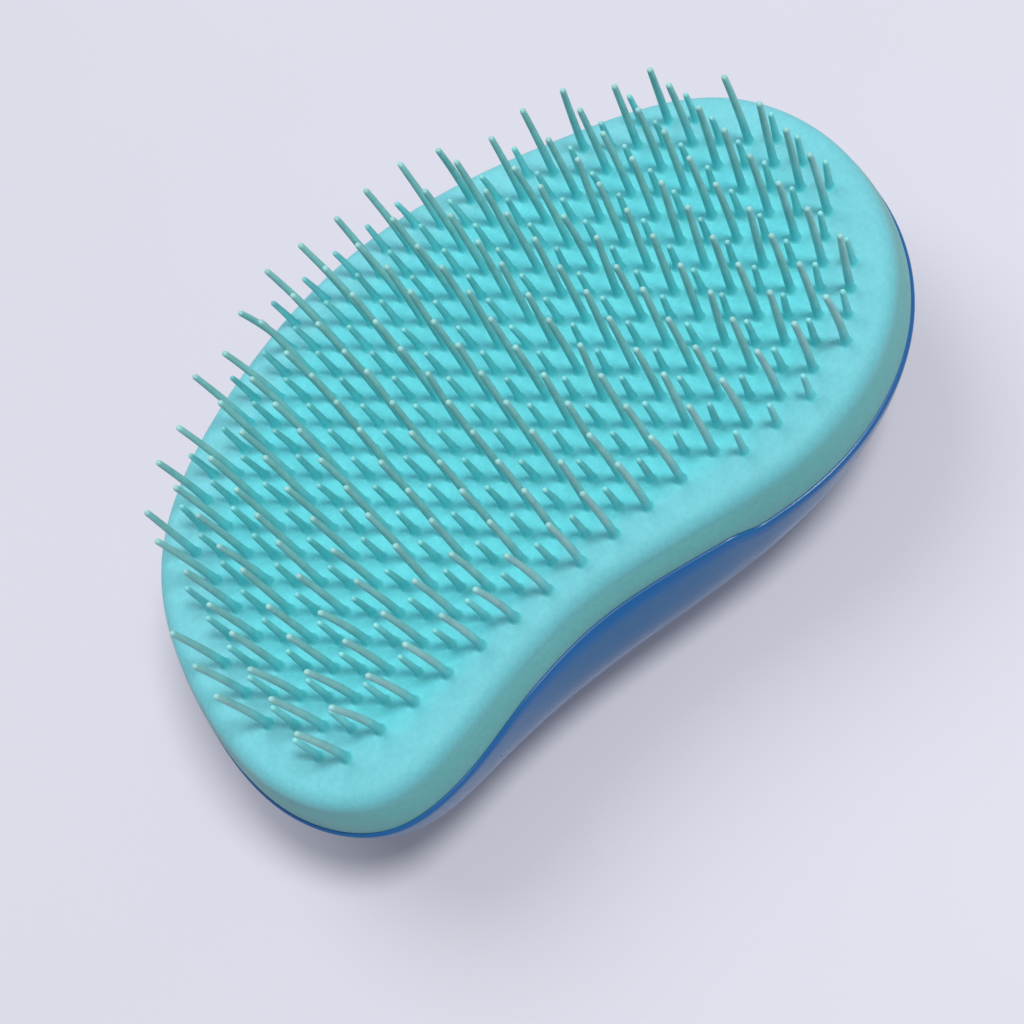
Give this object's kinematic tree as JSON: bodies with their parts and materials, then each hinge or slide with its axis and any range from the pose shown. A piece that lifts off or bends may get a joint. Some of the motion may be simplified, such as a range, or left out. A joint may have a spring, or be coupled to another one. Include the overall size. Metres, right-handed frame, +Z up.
{
  "type": "scalp massager brush",
  "caption": "Bean-shaped palm-held scalp massage and detangling brush with interleaved long and short flexible teeth on a soft pad over a glossy domed back shell.",
  "frame": {"origin": "on the floor under the middle of the plan outline, with the brush standing on its back shell", "axes": "+X along the brush towards the end farther from the waist, +Y across it towards the full side, away from the waist, +Z up along the teeth"},
  "size_m": [0.1112, 0.069, 0.0435],
  "materials": {
    "pad": "soft-touch satin",
    "shell": "high gloss",
    "long_teeth": "satin",
    "short_teeth": "satin"
  },
  "bodies": {
    "brush_body": {"tooth_pad": "pad", "back_shell": "shell"},
    "long_row_01": {"long_tooth_row_01": "long_teeth"},
    "long_row_02": {"long_tooth_row_02": "long_teeth"},
    "long_row_03": {"long_tooth_row_03": "long_teeth"},
    "long_row_04": {"long_tooth_row_04": "long_teeth"},
    "long_row_05": {"long_tooth_row_05": "long_teeth"},
    "long_row_06": {"long_tooth_row_06": "long_teeth"},
    "long_row_07": {"long_tooth_row_07": "long_teeth"},
    "long_row_08": {"long_tooth_row_08": "long_teeth"},
    "long_row_09": {"long_tooth_row_09": "long_teeth"},
    "long_row_10": {"long_tooth_row_10": "long_teeth"},
    "long_row_11": {"long_tooth_row_11": "long_teeth"},
    "short_row_01": {"short_tooth_row_01": "short_teeth"},
    "short_row_02": {"short_tooth_row_02": "short_teeth"},
    "short_row_03": {"short_tooth_row_03": "short_teeth"},
    "short_row_04": {"short_tooth_row_04": "short_teeth"},
    "short_row_05": {"short_tooth_row_05": "short_teeth"},
    "short_row_06": {"short_tooth_row_06": "short_teeth"},
    "short_row_07": {"short_tooth_row_07": "short_teeth"},
    "short_row_08": {"short_tooth_row_08": "short_teeth"},
    "short_row_09": {"short_tooth_row_09": "short_teeth"},
    "short_row_10": {"short_tooth_row_10": "short_teeth"},
    "short_row_11": {"short_tooth_row_11": "short_teeth"},
    "short_row_12": {"short_tooth_row_12": "short_teeth"}
  },
  "joints": [
    {"name": "long_row_01_flex", "type": "hinge", "parent": "brush_body", "child": "long_row_01", "pos_m": [0, -0.02519, 0.03044], "axis": [1, 0, 0], "range_deg": [-15, 15], "stiffness_Nm_per_rad": 0.0512},
    {"name": "long_row_02_flex", "type": "hinge", "parent": "brush_body", "child": "long_row_02", "pos_m": [0, -0.02007, 0.03044], "axis": [1, 0, 0], "range_deg": [-15, 15], "stiffness_Nm_per_rad": 0.0544},
    {"name": "long_row_03_flex", "type": "hinge", "parent": "brush_body", "child": "long_row_03", "pos_m": [0, -0.01495, 0.03044], "axis": [1, 0, 0], "range_deg": [-15, 15], "stiffness_Nm_per_rad": 0.0576},
    {"name": "long_row_04_flex", "type": "hinge", "parent": "brush_body", "child": "long_row_04", "pos_m": [0, -0.00983, 0.03044], "axis": [1, 0, 0], "range_deg": [-15, 15], "stiffness_Nm_per_rad": 0.0608},
    {"name": "long_row_05_flex", "type": "hinge", "parent": "brush_body", "child": "long_row_05", "pos_m": [0, -0.00471, 0.03044], "axis": [1, 0, 0], "range_deg": [-15, 15], "stiffness_Nm_per_rad": 0.0608},
    {"name": "long_row_06_flex", "type": "hinge", "parent": "brush_body", "child": "long_row_06", "pos_m": [0, 0.00041, 0.03044], "axis": [1, 0, 0], "range_deg": [-15, 15], "stiffness_Nm_per_rad": 0.0576},
    {"name": "long_row_07_flex", "type": "hinge", "parent": "brush_body", "child": "long_row_07", "pos_m": [0, 0.00553, 0.03044], "axis": [1, 0, 0], "range_deg": [-15, 15], "stiffness_Nm_per_rad": 0.0576},
    {"name": "long_row_08_flex", "type": "hinge", "parent": "brush_body", "child": "long_row_08", "pos_m": [0, 0.01065, 0.03044], "axis": [1, 0, 0], "range_deg": [-15, 15], "stiffness_Nm_per_rad": 0.0544},
    {"name": "long_row_09_flex", "type": "hinge", "parent": "brush_body", "child": "long_row_09", "pos_m": [0, 0.01577, 0.03044], "axis": [1, 0, 0], "range_deg": [-15, 15], "stiffness_Nm_per_rad": 0.0512},
    {"name": "long_row_10_flex", "type": "hinge", "parent": "brush_body", "child": "long_row_10", "pos_m": [0, 0.02089, 0.03044], "axis": [1, 0, 0], "range_deg": [-15, 15], "stiffness_Nm_per_rad": 0.0384},
    {"name": "long_row_11_flex", "type": "hinge", "parent": "brush_body", "child": "long_row_11", "pos_m": [0, 0.02601, 0.03044], "axis": [1, 0, 0], "range_deg": [-15, 15], "stiffness_Nm_per_rad": 0.0224},
    {"name": "short_row_01_flex", "type": "hinge", "parent": "brush_body", "child": "short_row_01", "pos_m": [0, -0.02775, 0.03044], "axis": [1, 0, 0], "range_deg": [-10, 10], "stiffness_Nm_per_rad": 0.0111},
    {"name": "short_row_02_flex", "type": "hinge", "parent": "brush_body", "child": "short_row_02", "pos_m": [0, -0.02263, 0.03044], "axis": [1, 0, 0], "range_deg": [-10, 10], "stiffness_Nm_per_rad": 0.0629},
    {"name": "short_row_03_flex", "type": "hinge", "parent": "brush_body", "child": "short_row_03", "pos_m": [0, -0.01751, 0.03044], "axis": [1, 0, 0], "range_deg": [-10, 10], "stiffness_Nm_per_rad": 0.0666},
    {"name": "short_row_04_flex", "type": "hinge", "parent": "brush_body", "child": "short_row_04", "pos_m": [0, -0.01239, 0.03044], "axis": [1, 0, 0], "range_deg": [-10, 10], "stiffness_Nm_per_rad": 0.0666},
    {"name": "short_row_05_flex", "type": "hinge", "parent": "brush_body", "child": "short_row_05", "pos_m": [0, -0.00727, 0.03044], "axis": [1, 0, 0], "range_deg": [-10, 10], "stiffness_Nm_per_rad": 0.0703},
    {"name": "short_row_06_flex", "type": "hinge", "parent": "brush_body", "child": "short_row_06", "pos_m": [0, -0.00215, 0.03044], "axis": [1, 0, 0], "range_deg": [-10, 10], "stiffness_Nm_per_rad": 0.0703},
    {"name": "short_row_07_flex", "type": "hinge", "parent": "brush_body", "child": "short_row_07", "pos_m": [0, 0.00297, 0.03044], "axis": [1, 0, 0], "range_deg": [-10, 10], "stiffness_Nm_per_rad": 0.0703},
    {"name": "short_row_08_flex", "type": "hinge", "parent": "brush_body", "child": "short_row_08", "pos_m": [0, 0.00809, 0.03044], "axis": [1, 0, 0], "range_deg": [-10, 10], "stiffness_Nm_per_rad": 0.0629},
    {"name": "short_row_09_flex", "type": "hinge", "parent": "brush_body", "child": "short_row_09", "pos_m": [0, 0.01321, 0.03044], "axis": [1, 0, 0], "range_deg": [-10, 10], "stiffness_Nm_per_rad": 0.0629},
    {"name": "short_row_10_flex", "type": "hinge", "parent": "brush_body", "child": "short_row_10", "pos_m": [0, 0.01833, 0.03044], "axis": [1, 0, 0], "range_deg": [-10, 10], "stiffness_Nm_per_rad": 0.0555},
    {"name": "short_row_11_flex", "type": "hinge", "parent": "brush_body", "child": "short_row_11", "pos_m": [0, 0.02345, 0.03044], "axis": [1, 0, 0], "range_deg": [-10, 10], "stiffness_Nm_per_rad": 0.037},
    {"name": "short_row_12_flex", "type": "hinge", "parent": "brush_body", "child": "short_row_12", "pos_m": [0, 0.02857, 0.03044], "axis": [1, 0, 0], "range_deg": [-10, 10], "stiffness_Nm_per_rad": 0.0185}
  ]
}
